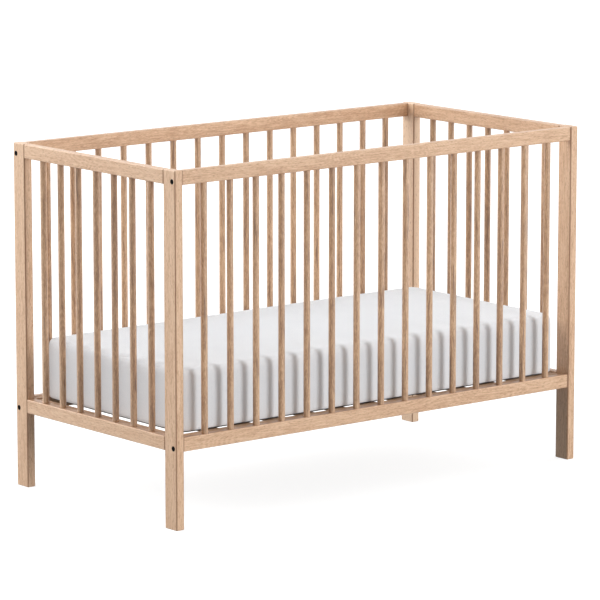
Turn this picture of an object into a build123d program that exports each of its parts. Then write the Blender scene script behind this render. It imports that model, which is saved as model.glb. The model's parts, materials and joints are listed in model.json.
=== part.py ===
from build123d import *
import os

# A wooden baby crib with two barred long sides, two barred ends, a slatted base and a mattress.
# Sizes are in millimetres.  +X runs along the crib, +Y from front to back, +Z up, and the origin
# is on the floor under the middle of the crib.

# ---- the whole crib
crib_length = 1260.0
crib_width = 642.0
crib_height = 845.0

# ---- posts
post_thickness = 23.0  # along X
post_depth = 45.0  # along Y
post_round = 3.0
post_top_round = 2.7
post_foot_chamfer = 1.5

# ---- rails
rail_height = 34.0
rail_round = 2.5
rail_end_round = 1.0
top_rail_drop = 1.0  # from the posts' tops down to the top rails
under_rail_height = 185.0  # from the floor to the bottom rails' undersides
long_rail_thickness = 19.0
long_rail_inset = 2.0  # from the posts' outer faces to the long rails' outer faces
end_rail_thickness = 23.0

# ---- bars
bar_diameter = 16.0
long_bar_count = 15
end_bar_count = 7
bar_tenon_diameter = 10.0
bar_tenon_length = 12.0
bar_tenon_relief = 1.0  # empty depth left past each tenon
bar_shoulder_chamfer = 0.5

# ---- side bolts, which hold the long rails to the posts, and their barrel nuts
side_bolt_diameter = 6.0
side_bolt_length = 62.0
side_bolt_height = 9.0  # above the rail's underside
bolt_clearance = 0.5  # around every bolt's shank
bolt_head_diameter = 11.0
bolt_head_height = 4.0
bolt_head_round = 0.6
hex_socket_size = 4.0
hex_socket_depth = 2.5
bolt_counterbore_diameter = 12.0
bolt_counterbore_depth = 5.0
barrel_nut_diameter = 10.0
barrel_nut_length = 14.0
barrel_nut_distance = 36.0  # from the rail's end
barrel_nut_relief = 1.0

# ---- dowels
dowel_diameter = 8.0
dowel_chamfer = 0.8
dowel_relief = 1.0
rail_dowel_length = 30.0
rail_dowel_post_depth = 12.0
rail_dowel_height = 25.0  # above the rail's underside
end_dowel_length = 40.0
end_dowel_post_depth = 18.0
end_dowel_spacing = 16.0

# ---- slatted base
base_clearance = 0.5  # between the base's frame and the rails around it
base_drop = 1.5  # from the bottom rails' tops down to the base's frame
batten_thickness = 22.0
batten_height = 30.0
batten_round = 1.2
slat_width = 42.0
slat_thickness = 7.0
slat_round = 1.2
slat_count = 11
slat_drop = 2.0  # from the battens' tops down to the slats' tops
slat_housing_depth = 10.0
slat_housing_relief = 0.5
slat_end_gap = 78.0  # between an end batten and the first slat

# ---- base bolts and the insert nuts that they run into
base_bolt_diameter = 6.0
base_bolt_length = 28.0
base_bolt_height = 12.0  # above the bottom rails' undersides
base_bolt_counterbore_depth = 5.0
long_batten_bolt_count = 3
long_batten_bolt_spacing = 460.0
end_batten_bolt_count = 2
end_batten_bolt_spacing = 300.0
insert_nut_diameter = 10.0
insert_nut_length = 12.0
insert_nut_relief = 1.0

# ---- corner screws of the base's frame
corner_screw_diameter = 4.5
corner_screw_head_diameter = 9.0
corner_screw_length = 60.0
corner_screw_spacing = 14.0
countersink_angle = 90.0
screw_slot_width = 1.2
screw_slot_depth = 1.2

# ---- mattress
mattress_thickness = 152.0
mattress_left_gap = 28.0  # between the left end rail and the mattress
mattress_right_gap = 1.0  # between the right end rail and the mattress
mattress_side_gap = 26.0  # between each long rail and the mattress
mattress_corner_round = 30.0
mattress_edge_round = 12.0
mattress_cover_thickness = 2.0
mattress_lift = 0.3  # air between the slats and the cover

# ---- heights that follow from the sizes above
bottom_rail_top = under_rail_height + rail_height
top_rail_top = crib_height - top_rail_drop
top_rail_underside = top_rail_top - rail_height
batten_top = bottom_rail_top - base_drop
batten_underside = batten_top - batten_height
slat_top = batten_top - slat_drop
end_batten_height = slat_top - batten_underside  # level with the slats, so the mattress lies over it
mattress_underside = slat_top + mattress_lift
base_bolt_level = under_rail_height + base_bolt_height

# ---- planes and lengths that follow from the sizes above
post_inner_x = crib_length / 2 - post_thickness
post_inner_y = crib_width / 2 - post_depth
long_rail_outer_y = crib_width / 2 - long_rail_inset
long_rail_middle_y = long_rail_outer_y - long_rail_thickness / 2
long_rail_inner_y = long_rail_outer_y - long_rail_thickness
end_rail_middle_x = crib_length / 2 - end_rail_thickness / 2
end_rail_inner_x = crib_length / 2 - end_rail_thickness
long_rail_length = 2 * post_inner_x
end_rail_length = 2 * post_inner_y
base_half_length = min(post_inner_x, end_rail_inner_x) - base_clearance
base_half_width = long_rail_inner_y - base_clearance
batten_inner_x = base_half_length - batten_thickness
batten_inner_y = base_half_width - batten_thickness

# ---- spacing of what repeats: equal gaps between bars, and between slats
long_bar_pitch = (long_rail_length + bar_diameter) / (long_bar_count + 1)
end_bar_pitch = (end_rail_length + bar_diameter) / (end_bar_count + 1)
slat_pitch = (2 * (batten_inner_x - slat_end_gap) - slat_width) / (slat_count - 1)

rail_undersides = (under_rail_height, top_rail_underside)

os.makedirs("parts", exist_ok=True)


def save(piece, name):
    """Label a finished piece and write it as one STEP file."""
    piece.label = name
    export_step(piece, f"parts/{name}.step")


# ------------------------------------------------------------------ posts
def make_post(side_x, side_y):
    """One corner post; side_x is -1 at the left end, side_y is -1 at the front."""
    outer_x = side_x * crib_length / 2
    outer_y = side_y * crib_width / 2
    middle_x = outer_x - side_x * post_thickness / 2
    middle_y = outer_y - side_y * post_depth / 2
    bolt_y = side_y * long_rail_middle_y
    outer_face = Plane(origin=(outer_x, 0, 0), x_dir=(0, 1, 0), z_dir=(side_x, 0, 0))
    inner_face = Plane(origin=(side_x * post_inner_x, 0, 0), x_dir=(0, 1, 0), z_dir=(-side_x, 0, 0))
    end_rail_face = Plane(origin=(0, side_y * post_inner_y, 0), x_dir=(1, 0, 0), z_dir=(0, -side_y, 0))
    with BuildPart() as post:
        with BuildSketch(Plane.XY) as section:
            with Locations((middle_x, middle_y)):
                Rectangle(post_thickness, post_depth)
            fillet(section.vertices(), radius=post_round)
        extrude(amount=crib_height)
        fillet(post.faces().sort_by(Axis.Z)[-1].edges(), radius=post_top_round)
        chamfer(post.faces().sort_by(Axis.Z)[0].edges(), length=post_foot_chamfer)
        for underside in rail_undersides:
            bolt_z = underside + side_bolt_height
            dowel_z = underside + rail_dowel_height
            with Locations(outer_face.shift_origin((outer_x, bolt_y, bolt_z))):
                CounterBoreHole(
                    radius=side_bolt_diameter / 2 + bolt_clearance,
                    counter_bore_radius=bolt_counterbore_diameter / 2,
                    counter_bore_depth=bolt_counterbore_depth,
                    depth=post_thickness,
                )
            with Locations(inner_face.shift_origin((side_x * post_inner_x, bolt_y, dowel_z))):
                Hole(radius=dowel_diameter / 2, depth=rail_dowel_post_depth)
            for offset in (-end_dowel_spacing / 2, end_dowel_spacing / 2):
                end_dowel_z = underside + rail_height / 2 + offset
                spot = (side_x * end_rail_middle_x, side_y * post_inner_y, end_dowel_z)
                with Locations(end_rail_face.shift_origin(spot)):
                    Hole(radius=dowel_diameter / 2, depth=end_dowel_post_depth)
    return post.part


for end_name, side_x in (("left", -1), ("right", 1)):
    for side_name, side_y in (("front", -1), ("back", 1)):
        save(make_post(side_x, side_y), f"{side_name}_{end_name}_post")


# ------------------------------------------------------------------ rails
def make_long_rail(side_y, underside, bars_face_up, carries_base):
    """One rail of a long side, with its bar mortises, nut holes, bolt bores and dowel holes."""
    middle_y = side_y * long_rail_middle_y
    bars_z = underside + rail_height if bars_face_up else underside
    bars_facing = 1 if bars_face_up else -1
    bars_plane = Plane(origin=(0, middle_y, bars_z), x_dir=(1, 0, 0), z_dir=(0, 0, bars_facing))
    with BuildPart() as rail:
        with BuildSketch(Plane.YZ.offset(-long_rail_length / 2)) as section:
            with Locations((middle_y, underside + rail_height / 2)):
                Rectangle(long_rail_thickness, rail_height)
            fillet(section.vertices(), radius=rail_round)
        extrude(amount=long_rail_length)
        fillet(rail.faces().sort_by(Axis.X)[0].edges(), radius=rail_end_round)
        fillet(rail.faces().sort_by(Axis.X)[-1].edges(), radius=rail_end_round)
        with Locations(bars_plane):
            with GridLocations(long_bar_pitch, 0, long_bar_count, 1):
                Hole(radius=bar_tenon_diameter / 2, depth=bar_tenon_length + bar_tenon_relief)
        for side_x in (-1, 1):
            end_x = side_x * long_rail_length / 2
            rail_end = Plane(origin=(end_x, middle_y, underside), x_dir=(0, 1, 0), z_dir=(side_x, 0, 0))
            bore_depth = side_bolt_length - post_thickness + bolt_counterbore_depth + dowel_relief
            with Locations(rail_end.shift_origin((end_x, middle_y, underside + side_bolt_height))):
                Hole(radius=side_bolt_diameter / 2 + bolt_clearance, depth=bore_depth)
            rail_dowel_rail_depth = rail_dowel_length - rail_dowel_post_depth + dowel_relief
            with Locations(rail_end.shift_origin((end_x, middle_y, underside + rail_dowel_height))):
                Hole(radius=dowel_diameter / 2, depth=rail_dowel_rail_depth)
            nut_x = end_x - side_x * barrel_nut_distance
            nut_plane = Plane(origin=(nut_x, middle_y, underside), x_dir=(1, 0, 0), z_dir=(0, 0, -1))
            with Locations(nut_plane):
                Hole(
                    radius=barrel_nut_diameter / 2,
                    depth=side_bolt_height + barrel_nut_length / 2 + barrel_nut_relief,
                )
        if carries_base:
            inner_y = side_y * long_rail_inner_y
            bolt_row = (0, inner_y, base_bolt_level)
            inner_face = Plane(origin=bolt_row, x_dir=(1, 0, 0), z_dir=(0, -side_y, 0))
            with Locations(inner_face):
                with GridLocations(long_batten_bolt_spacing, 0, long_batten_bolt_count, 1):
                    Hole(radius=insert_nut_diameter / 2, depth=insert_nut_length + insert_nut_relief)
    return rail.part


def make_end_rail(side_x, underside, bars_face_up, carries_base):
    """One rail of an end frame, with its bar mortises and dowel holes."""
    middle_x = side_x * end_rail_middle_x
    bars_z = underside + rail_height if bars_face_up else underside
    bars_facing = 1 if bars_face_up else -1
    bars_plane = Plane(origin=(middle_x, 0, bars_z), x_dir=(0, 1, 0), z_dir=(0, 0, bars_facing))
    with BuildPart() as rail:
        with BuildSketch(Plane.XZ.offset(-end_rail_length / 2)) as section:
            with Locations((middle_x, underside + rail_height / 2)):
                Rectangle(end_rail_thickness, rail_height)
            fillet(section.vertices(), radius=rail_round)
        extrude(amount=end_rail_length)
        fillet(rail.faces().sort_by(Axis.Y)[0].edges(), radius=rail_end_round)
        fillet(rail.faces().sort_by(Axis.Y)[-1].edges(), radius=rail_end_round)
        with Locations(bars_plane):
            with GridLocations(end_bar_pitch, 0, end_bar_count, 1):
                Hole(radius=bar_tenon_diameter / 2, depth=bar_tenon_length + bar_tenon_relief)
        for side_y in (-1, 1):
            end_y = side_y * end_rail_length / 2
            for offset in (-end_dowel_spacing / 2, end_dowel_spacing / 2):
                dowel_z = underside + rail_height / 2 + offset
                mouth = (middle_x, end_y, dowel_z)
                rail_end = Plane(origin=mouth, x_dir=(1, 0, 0), z_dir=(0, side_y, 0))
                end_dowel_rail_depth = end_dowel_length - end_dowel_post_depth + dowel_relief
                with Locations(rail_end):
                    Hole(radius=dowel_diameter / 2, depth=end_dowel_rail_depth)
        if carries_base:
            inner_x = side_x * end_rail_inner_x
            bolt_row = (inner_x, 0, base_bolt_level)
            inner_face = Plane(origin=bolt_row, x_dir=(0, 1, 0), z_dir=(-side_x, 0, 0))
            with Locations(inner_face):
                with GridLocations(end_batten_bolt_spacing, 0, end_batten_bolt_count, 1):
                    Hole(radius=insert_nut_diameter / 2, depth=insert_nut_length + insert_nut_relief)
    return rail.part


rail_levels = (("bottom", under_rail_height, True), ("top", top_rail_underside, False))
for level_name, underside, is_bottom in rail_levels:
    for side_name, side_y in (("front", -1), ("back", 1)):
        save(make_long_rail(side_y, underside, is_bottom, is_bottom), f"{side_name}_{level_name}_rail")
    for end_name, side_x in (("left", -1), ("right", 1)):
        save(make_end_rail(side_x, underside, is_bottom, is_bottom), f"{end_name}_{level_name}_rail")


# ------------------------------------------------------------------ bars
def make_bars(spots):
    """Round bars with a shouldered tenon at each end, standing at the given (x, y) spots."""
    bar_length = top_rail_underside - bottom_rail_top
    with BuildPart() as bars:
        with Locations([(x, y, bottom_rail_top) for x, y in spots]):
            Cylinder(bar_diameter / 2, bar_length, align=(Align.CENTER, Align.CENTER, Align.MIN))
        chamfer(bars.edges().filter_by(GeomType.CIRCLE), length=bar_shoulder_chamfer)
        with Locations([(x, y, bottom_rail_top - bar_tenon_length) for x, y in spots]):
            Cylinder(
                bar_tenon_diameter / 2,
                bar_length + 2 * bar_tenon_length,
                align=(Align.CENTER, Align.CENTER, Align.MIN),
            )
    return bars.part


def spread(count, pitch):
    """Positions of a row of equally spaced things about zero."""
    return [(index - (count - 1) / 2) * pitch for index in range(count)]


for side_name, side_y in (("front", -1), ("back", 1)):
    long_bar_spots = [(x, side_y * long_rail_middle_y) for x in spread(long_bar_count, long_bar_pitch)]
    save(make_bars(long_bar_spots), f"{side_name}_bars")

for end_name, side_x in (("left", -1), ("right", 1)):
    for number, y in enumerate(spread(end_bar_count, end_bar_pitch), start=1):
        save(make_bars([(side_x * end_rail_middle_x, y)]), f"{end_name}_end_bar_{number}")


# ------------------------------------------------------------------ bolts, nuts and dowels of the frame
def bolt_solid(diameter, length):
    """A bolt along -Z with its head above Z = 0 and a hexagon socket in the head's top."""
    with BuildPart() as bolt:
        Cylinder(
            bolt_head_diameter / 2,
            bolt_head_height,
            align=(Align.CENTER, Align.CENTER, Align.MIN),
        )
        fillet(bolt.edges().filter_by(GeomType.CIRCLE).sort_by(Axis.Z)[-1], radius=bolt_head_round)
        Cylinder(diameter / 2, length, align=(Align.CENTER, Align.CENTER, Align.MAX))
        with BuildSketch(Plane.XY.offset(bolt_head_height)):
            RegularPolygon(hex_socket_size / 2, 6, major_radius=False)
        extrude(amount=-hex_socket_depth, mode=Mode.SUBTRACT)
    return bolt.part


def place_all(solid, planes):
    """Copies of one solid on many planes, as one group of separate solids."""
    with BuildPart() as group:
        for plane in planes:
            add(solid.moved(plane.location))
    return group.part


side_bolt_seats = []
barrel_nut_seats = []
rail_dowel_seats = []
end_dowel_seats = []
for underside in rail_undersides:
    for side_x in (-1, 1):
        seat_x = side_x * (crib_length / 2 - bolt_counterbore_depth)
        nut_x = side_x * (post_inner_x - barrel_nut_distance)
        dowel_start_x = side_x * (post_inner_x + rail_dowel_post_depth)
        for side_y in (-1, 1):
            bolt_y = side_y * long_rail_middle_y
            bolt_z = underside + side_bolt_height
            bolt_seat = (seat_x, bolt_y, bolt_z)
            side_bolt_seats.append(Plane(origin=bolt_seat, x_dir=(0, 1, 0), z_dir=(side_x, 0, 0)))
            nut_middle = (nut_x, bolt_y, bolt_z)
            barrel_nut_seats.append(Plane(origin=nut_middle, x_dir=(1, 0, 0), z_dir=(0, 0, 1)))
            dowel_z = underside + rail_dowel_height
            rail_dowel_seats.append(
                Plane(origin=(dowel_start_x, bolt_y, dowel_z), x_dir=(0, 1, 0), z_dir=(-side_x, 0, 0))
            )
            end_dowel_start_y = side_y * (post_inner_y + end_dowel_post_depth)
            for offset in (-end_dowel_spacing / 2, end_dowel_spacing / 2):
                end_dowel_z = underside + rail_height / 2 + offset
                spot = (side_x * end_rail_middle_x, end_dowel_start_y, end_dowel_z)
                end_dowel_seats.append(Plane(origin=spot, x_dir=(1, 0, 0), z_dir=(0, -side_y, 0)))

save(place_all(bolt_solid(side_bolt_diameter, side_bolt_length), side_bolt_seats), "side_bolts")

with BuildPart() as barrel_nut:
    Cylinder(barrel_nut_diameter / 2, barrel_nut_length)
    with Locations(Plane.YZ.offset(barrel_nut_diameter / 2)):
        Hole(radius=side_bolt_diameter / 2)

save(place_all(barrel_nut.part, barrel_nut_seats), "barrel_nuts")


def dowel_solid(length):
    """A round dowel from Z = 0 up, with chamfered ends."""
    with BuildPart() as dowel:
        Cylinder(dowel_diameter / 2, length, align=(Align.CENTER, Align.CENTER, Align.MIN))
        chamfer(dowel.edges().filter_by(GeomType.CIRCLE), length=dowel_chamfer)
    return dowel.part


save(place_all(dowel_solid(rail_dowel_length), rail_dowel_seats), "rail_dowels")
save(place_all(dowel_solid(end_dowel_length), end_dowel_seats), "end_frame_dowels")


# ------------------------------------------------------------------ slatted base
slat_positions = spread(slat_count, slat_pitch)
long_bolt_positions = spread(long_batten_bolt_count, long_batten_bolt_spacing)
end_bolt_positions = spread(end_batten_bolt_count, end_batten_bolt_spacing)
batten_middle_z = batten_underside + batten_height / 2
corner_screw_levels = [batten_middle_z + z for z in spread(2, corner_screw_spacing)]


def make_long_batten(side_y):
    """A long member of the base's frame, with housings for the slats' ends."""
    outer_y = side_y * base_half_width
    inner_y = side_y * batten_inner_y
    middle_y = (outer_y + inner_y) / 2
    inner_face = Plane(origin=(0, inner_y, 0), x_dir=(1, 0, 0), z_dir=(0, -side_y, 0))
    with BuildPart() as batten:
        with BuildSketch(Plane.YZ.offset(-base_half_length)) as section:
            with Locations((middle_y, batten_underside + batten_height / 2)):
                Rectangle(batten_thickness, batten_height)
            fillet(section.vertices(), radius=batten_round)
        extrude(amount=2 * base_half_length)
        for x in slat_positions:
            housing_y = inner_y + side_y * slat_housing_depth / 2
            with Locations((x, housing_y, slat_top - slat_thickness / 2)):
                Box(slat_width, slat_housing_depth, slat_thickness, mode=Mode.SUBTRACT)
        for x in long_bolt_positions:
            with Locations(inner_face.shift_origin((x, inner_y, base_bolt_level))):
                CounterBoreHole(
                    radius=base_bolt_diameter / 2 + bolt_clearance,
                    counter_bore_radius=bolt_counterbore_diameter / 2,
                    counter_bore_depth=base_bolt_counterbore_depth,
                    depth=batten_thickness,
                )
        for side_x in (-1, 1):
            for z in corner_screw_levels:
                screw_x = side_x * (base_half_length - batten_thickness / 2)
                screw_plane = Plane(origin=(screw_x, outer_y, z), x_dir=(1, 0, 0), z_dir=(0, side_y, 0))
                with Locations(screw_plane):
                    CounterSinkHole(
                        radius=corner_screw_diameter / 2,
                        counter_sink_radius=corner_screw_head_diameter / 2,
                        counter_sink_angle=countersink_angle,
                        depth=batten_thickness,
                    )
    return batten.part


def make_end_batten(side_x):
    """A short member of the base's frame, between the long ones."""
    outer_x = side_x * base_half_length
    inner_x = side_x * batten_inner_x
    middle_x = (outer_x + inner_x) / 2
    inner_face = Plane(origin=(inner_x, 0, 0), x_dir=(0, 1, 0), z_dir=(-side_x, 0, 0))
    with BuildPart() as batten:
        with BuildSketch(Plane.XZ.offset(-batten_inner_y)) as section:
            with Locations((middle_x, batten_underside + end_batten_height / 2)):
                Rectangle(batten_thickness, end_batten_height)
            fillet(section.vertices(), radius=batten_round)
        extrude(amount=2 * batten_inner_y)
        for y in end_bolt_positions:
            with Locations(inner_face.shift_origin((inner_x, y, base_bolt_level))):
                CounterBoreHole(
                    radius=base_bolt_diameter / 2 + bolt_clearance,
                    counter_bore_radius=bolt_counterbore_diameter / 2,
                    counter_bore_depth=base_bolt_counterbore_depth,
                    depth=batten_thickness,
                )
        for side_y in (-1, 1):
            for z in corner_screw_levels:
                end_plane = Plane(
                    origin=(middle_x, side_y * batten_inner_y, z), x_dir=(1, 0, 0), z_dir=(0, side_y, 0)
                )
                with Locations(end_plane):
                    Hole(radius=corner_screw_diameter / 2, depth=corner_screw_length - batten_thickness)
    return batten.part


save(make_long_batten(-1), "base_front_batten")
save(make_long_batten(1), "base_back_batten")
save(make_end_batten(-1), "base_left_batten")
save(make_end_batten(1), "base_right_batten")

slat_half_length = batten_inner_y + slat_housing_depth - slat_housing_relief
for number, x in enumerate(slat_positions, start=1):
    with BuildPart() as slat:
        with BuildSketch(Plane.XZ.offset(-slat_half_length)) as slat_section:
            with Locations((x, slat_top - slat_thickness / 2)):
                Rectangle(slat_width, slat_thickness)
            fillet(slat_section.vertices(), radius=slat_round)
        extrude(amount=2 * slat_half_length)
    save(slat.part, f"base_slat_{number:02d}")

base_bolt_seats = []
insert_nut_seats = []
for side_y in (-1, 1):
    for x in long_bolt_positions:
        seat_y = side_y * (batten_inner_y + base_bolt_counterbore_depth)
        seat = (x, seat_y, base_bolt_level)
        base_bolt_seats.append(Plane(origin=seat, x_dir=(1, 0, 0), z_dir=(0, -side_y, 0)))
        mouth = (x, side_y * long_rail_inner_y, base_bolt_level)
        insert_nut_seats.append(Plane(origin=mouth, x_dir=(1, 0, 0), z_dir=(0, side_y, 0)))
for side_x in (-1, 1):
    for y in end_bolt_positions:
        seat_x = side_x * (batten_inner_x + base_bolt_counterbore_depth)
        seat = (seat_x, y, base_bolt_level)
        base_bolt_seats.append(Plane(origin=seat, x_dir=(0, 1, 0), z_dir=(-side_x, 0, 0)))
        mouth = (side_x * end_rail_inner_x, y, base_bolt_level)
        insert_nut_seats.append(Plane(origin=mouth, x_dir=(0, 1, 0), z_dir=(side_x, 0, 0)))

save(place_all(bolt_solid(base_bolt_diameter, base_bolt_length), base_bolt_seats), "base_bolts")

with BuildPart() as insert_nut:
    with BuildSketch():
        Circle(insert_nut_diameter / 2)
        Circle(base_bolt_diameter / 2, mode=Mode.SUBTRACT)
    extrude(amount=insert_nut_length)

save(place_all(insert_nut.part, insert_nut_seats), "insert_nuts")

with BuildPart() as corner_screw:
    with BuildSketch(Plane.XZ):
        with BuildLine():
            Polyline(
                (0, 0),
                (corner_screw_head_diameter / 2, 0),
                (corner_screw_diameter / 2, -(corner_screw_head_diameter - corner_screw_diameter) / 2),
                (corner_screw_diameter / 2, -corner_screw_length + corner_screw_diameter / 2),
                (0, -corner_screw_length),
                (0, 0),
            )
        make_face()
    revolve(axis=Axis.Z)
    with Locations((0, 0, -screw_slot_depth / 2)):
        Box(corner_screw_head_diameter, screw_slot_width, screw_slot_depth, mode=Mode.SUBTRACT)

corner_screw_seats = []
for side_x in (-1, 1):
    for side_y in (-1, 1):
        for z in corner_screw_levels:
            mouth = (side_x * (base_half_length - batten_thickness / 2), side_y * base_half_width, z)
            corner_screw_seats.append(Plane(origin=mouth, x_dir=(1, 0, 0), z_dir=(0, side_y, 0)))

save(place_all(corner_screw.part, corner_screw_seats), "base_corner_screws")


# ------------------------------------------------------------------ mattress
mattress_length = 2 * end_rail_inner_x - mattress_left_gap - mattress_right_gap
mattress_width = 2 * (long_rail_inner_y - mattress_side_gap)
mattress_middle_x = end_rail_inner_x - mattress_right_gap - mattress_length / 2


def make_cushion(margin):
    """The mattress's rounded block, taken in by margin on every side."""
    with BuildPart() as cushion:
        with BuildSketch(Plane.XY.offset(mattress_underside + margin)) as outline:
            with Locations((mattress_middle_x, 0)):
                RectangleRounded(
                    mattress_length - 2 * margin,
                    mattress_width - 2 * margin,
                    mattress_corner_round - margin,
                )
        extrude(amount=mattress_thickness - 2 * margin)
        fillet(cushion.faces().sort_by(Axis.Z)[0].edges(), radius=mattress_edge_round - margin)
        fillet(cushion.faces().sort_by(Axis.Z)[-1].edges(), radius=mattress_edge_round - margin)
    return cushion.part


mattress_block = make_cushion(0)
core_block = make_cushion(mattress_cover_thickness)

with BuildPart() as mattress_cover:
    add(mattress_block)
    add(core_block, mode=Mode.SUBTRACT)

save(mattress_cover.part, "mattress_cover")
save(core_block, "mattress_core")
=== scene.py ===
"""The looks of a wooden baby crib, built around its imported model.

The crib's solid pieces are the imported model's own nodes, dressed in procedural finishes.
The mattress gets its own mesh.  Everything is in metres: +X runs along the crib, +Y from
the front side to the back side, and +Z up from the floor.
"""

from __future__ import annotations

import json
import logging
import math
import random
from dataclasses import dataclass, field
from enum import Enum

import bmesh
import bpy
from mathutils import Matrix, Vector, noise

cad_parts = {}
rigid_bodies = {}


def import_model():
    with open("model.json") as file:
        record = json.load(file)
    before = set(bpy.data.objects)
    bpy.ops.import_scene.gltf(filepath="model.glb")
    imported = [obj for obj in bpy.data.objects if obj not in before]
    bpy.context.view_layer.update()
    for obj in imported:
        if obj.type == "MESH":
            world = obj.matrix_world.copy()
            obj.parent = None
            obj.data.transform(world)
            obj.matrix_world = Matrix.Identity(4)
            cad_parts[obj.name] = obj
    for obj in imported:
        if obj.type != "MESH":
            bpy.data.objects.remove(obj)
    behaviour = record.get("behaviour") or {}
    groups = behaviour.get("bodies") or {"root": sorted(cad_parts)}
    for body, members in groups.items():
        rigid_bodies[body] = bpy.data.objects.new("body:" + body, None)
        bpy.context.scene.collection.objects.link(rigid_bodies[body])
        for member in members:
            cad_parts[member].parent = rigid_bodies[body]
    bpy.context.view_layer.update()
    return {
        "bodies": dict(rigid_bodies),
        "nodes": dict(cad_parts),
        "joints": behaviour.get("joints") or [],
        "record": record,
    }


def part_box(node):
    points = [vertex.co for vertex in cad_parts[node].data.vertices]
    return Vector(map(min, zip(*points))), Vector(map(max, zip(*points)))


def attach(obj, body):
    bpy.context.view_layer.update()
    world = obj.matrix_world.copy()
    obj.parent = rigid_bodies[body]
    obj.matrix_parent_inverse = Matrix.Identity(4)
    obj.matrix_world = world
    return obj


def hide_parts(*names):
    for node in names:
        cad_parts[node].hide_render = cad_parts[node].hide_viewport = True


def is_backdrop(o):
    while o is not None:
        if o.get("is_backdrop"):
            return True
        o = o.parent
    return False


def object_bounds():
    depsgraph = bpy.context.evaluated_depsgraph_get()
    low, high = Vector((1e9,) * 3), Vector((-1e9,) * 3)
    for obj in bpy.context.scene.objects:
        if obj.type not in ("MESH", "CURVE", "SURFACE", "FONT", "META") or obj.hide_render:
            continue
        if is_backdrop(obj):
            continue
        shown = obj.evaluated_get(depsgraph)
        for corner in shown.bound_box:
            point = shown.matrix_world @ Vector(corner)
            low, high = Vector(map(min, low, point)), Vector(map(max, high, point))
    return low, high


log = logging.getLogger("crib")

Colour = tuple[float, float, float]
Nodes = dict[str, bpy.types.Object]
Socket = bpy.types.NodeSocket

MATTRESS_BODY = "mattress"
WHITE = (1.0, 1.0, 1.0, 1.0)
AVERAGE = 0.5  # of a noise texture, and of a wave that runs from 0 to 1
NEAR_ZERO = 1e-9

# The Mix node's colour sockets share their names with its number sockets, so they go by number.
MIX_SHARE, MIX_FIRST, MIX_SECOND, MIX_COLOUR = 0, 6, 7, 2


def srgb(red: int, green: int, blue: int) -> Colour:
    """A colour given in 0 to 255 screen values, as the linear values that shaders take.

    Args:
        red: screen value of red.
        green: screen value of green.
        blue: screen value of blue.

    Returns:
        The linear red, green and blue.
    """

    def linear(value: int) -> float:
        """One channel by the sRGB standard's curve, whose numbers these are."""
        share = value / 255
        return share / 12.92 if share <= 0.04045 else ((share + 0.055) / 1.055) ** 2.4

    return linear(red), linear(green), linear(blue)


def opaque(colour: Colour) -> tuple[float, float, float, float]:
    """A colour with full opacity, as the inputs of colour nodes take it."""
    return (*colour, 1.0)


def smooth_step(value: float) -> float:
    """The usual smooth rise from 0 to 1, held at 0 below it and at 1 above it."""
    held = min(max(value, 0.0), 1.0)
    return held * held * (3 - 2 * held)


class Grain(Enum):
    """The way that a board's grain runs.

    Each value names the axes that the texture reads as its X, Y and Z, the last of them
    along the grain.
    """

    ALONG_LENGTH = "YZX"
    ALONG_DEPTH = "XZY"
    UPRIGHT = "XYZ"


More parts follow.
